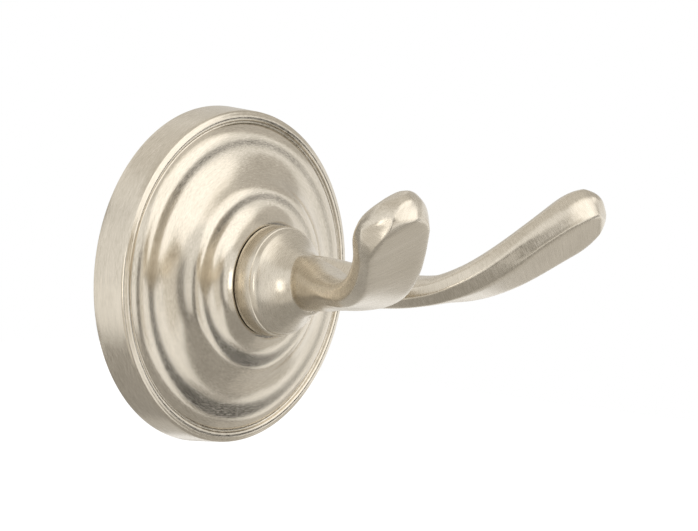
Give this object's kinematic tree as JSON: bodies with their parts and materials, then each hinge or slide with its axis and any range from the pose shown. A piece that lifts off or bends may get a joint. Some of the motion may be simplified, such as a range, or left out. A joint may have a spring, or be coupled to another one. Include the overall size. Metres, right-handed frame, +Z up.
{
  "type": "double robe hook",
  "caption": "Wall-mounted double robe hook: a round moulded rosette carries a bell-shaped post that splits into a pair of upturned, spoon-shaped arms.",
  "frame": {"origin": "centre of the wall face: the middle of the wall bracket's back, on the rosette's axis", "axes": "+Y into the wall, -Y out along the post, +Z up, +X to the right of someone who faces the wall"},
  "size_m": [0.0722, 0.0767, 0.07],
  "materials": {
    "satin_nickel": "cast brass, brushed and plated in warm satin nickel under a clear lacquer",
    "zinc_plated_steel": "zinc-plated steel, bright and slightly blue",
    "dark_steel": "blackened alloy steel"
  },
  "bodies": {
    "root": {"rosette": "satin_nickel", "hook": "satin_nickel", "wall_bracket": "zinc_plated_steel", "clamp_washer": "zinc_plated_steel", "lock_washer": "zinc_plated_steel", "post_screw": "zinc_plated_steel", "set_screw": "dark_steel"}
  },
  "joints": []
}
